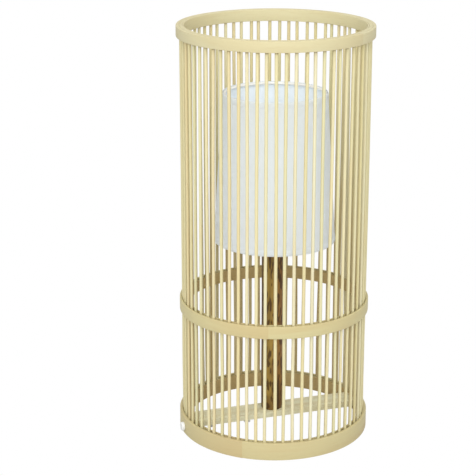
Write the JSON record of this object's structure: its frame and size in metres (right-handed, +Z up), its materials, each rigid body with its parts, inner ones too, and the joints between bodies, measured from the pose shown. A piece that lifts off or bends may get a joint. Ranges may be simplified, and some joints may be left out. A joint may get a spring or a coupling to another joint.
{
  "type": "bamboo cage lamp",
  "caption": "Free-standing cylindrical cage lamp: vertical bamboo rods between paired hoops, a tapered fabric shade on a mottled bamboo post.",
  "frame": {"origin": "middle of the cage on the surface that it stands on", "axes": "+Z up along the cage, X along the cross board with the cable bush at the -X end"},
  "size_m": [0.2032, 0.2, 0.43],
  "materials": {
    "bamboo_rod": "smooth split bamboo, pale straw, satin",
    "bamboo_hoop": "bent bamboo strip with fine grain along it, satin",
    "bamboo_inner_face": "inner side of a bamboo strip, darker brown, matte",
    "board_wood": "planed pale wood, matte",
    "mottled_bamboo": "dark mottled bamboo culm, satin",
    "plug_wood": "turned wood plug, matte",
    "shade_fabric": "white fabric on a clear stiffener, matte",
    "shade_wire": "white coated wire",
    "steel": "zinc plated",
    "brass": "bright",
    "holder_plastic": "moulded white",
    "ceramic": "glazed ceramic",
    "white_plastic": "moulded white",
    "lead_sheath": "white flexible sheath",
    "core_insulation": "brown insulation",
    "lamp_cap_metal": "nickel plated",
    "lamp_insulator": "black vitrified insulator",
    "lamp_housing": "moulded white",
    "circuit_board": "printed circuit board",
    "lamp_globe": "frosted white"
  },
  "bodies": {
    "lamp_frame": {"cage_rods_01": "bamboo_rod", "cage_rods_02": "bamboo_rod", "cage_rods_03": "bamboo_rod", "cage_rods_04": "bamboo_rod", "cage_rods_05": "bamboo_rod", "cage_rods_06": "bamboo_rod", "cage_rods_07": "bamboo_rod", "cage_rods_08": "bamboo_rod", "cage_rods_09": "bamboo_rod", "cage_rods_10": "bamboo_rod", "cage_rods_11": "bamboo_rod", "cage_rods_12": "bamboo_rod", "cage_rods_13": "bamboo_rod", "cage_rods_14": "bamboo_rod", "cage_rods_15": "bamboo_rod", "cage_rods_16": "bamboo_rod", "cage_rods_17": "bamboo_rod", "cage_rods_18": "bamboo_rod", "cage_rods_19": "bamboo_rod", "cage_rods_20": "bamboo_rod", "cage_rods_21": "bamboo_rod", "top_outer_hoop": "bamboo_hoop", "top_inner_hoop": "bamboo_hoop", "rim_filler": "bamboo_hoop", "middle_outer_hoop": "bamboo_hoop", "bottom_outer_hoop": "bamboo_hoop", "middle_inner_hoop": "bamboo_inner_face", "bottom_inner_hoop": "bamboo_inner_face", "cross_board": "board_wood", "board_nails": "steel", "clip_nails": "steel", "post_screws": "steel", "cable_bush": "white_plastic", "lead_clips": "white_plastic", "inner_lead": "lead_sheath", "lead_cores": "core_insulation", "post": "mottled_bamboo", "post_base_plug": "plug_wood", "post_top_plug": "plug_wood", "holder_nipple": "steel", "nipple_washer": "steel", "nipple_nut": "steel", "holder_cap": "holder_plastic", "holder_sleeve": "holder_plastic", "holder_insert": "ceramic", "terminal_screws": "brass", "holder_shell": "brass", "holder_contact": "brass"},
    "shade": {"shade_cover": "shade_fabric", "shade_top_wire": "shade_wire", "shade_carrier": "shade_wire"},
    "shade_ring": {"shade_ring": "holder_plastic"},
    "bulb": {"bulb_contact": "lamp_cap_metal", "bulb_insulator": "lamp_insulator", "bulb_cap": "lamp_cap_metal", "bulb_body": "lamp_housing", "led_board": "circuit_board", "bulb_driver": "circuit_board", "bulb_globe": "lamp_globe"}
  },
  "joints": [
    {"name": "shade_lift", "type": "slide", "parent": "lamp_frame", "child": "shade", "axis": [0, 0, 1], "range_m": [0, 0.235]},
    {"name": "ring_turn", "type": "hinge", "parent": "shade", "child": "shade_ring", "pos_m": [0, 0, 0.2425], "axis": [0, 0, 1], "range_deg": [0, 1080]},
    {"name": "lamp_lift", "type": "slide", "parent": "lamp_frame", "child": "bulb", "axis": [0, 0, 1], "range_m": [0, 0.24]}
  ]
}
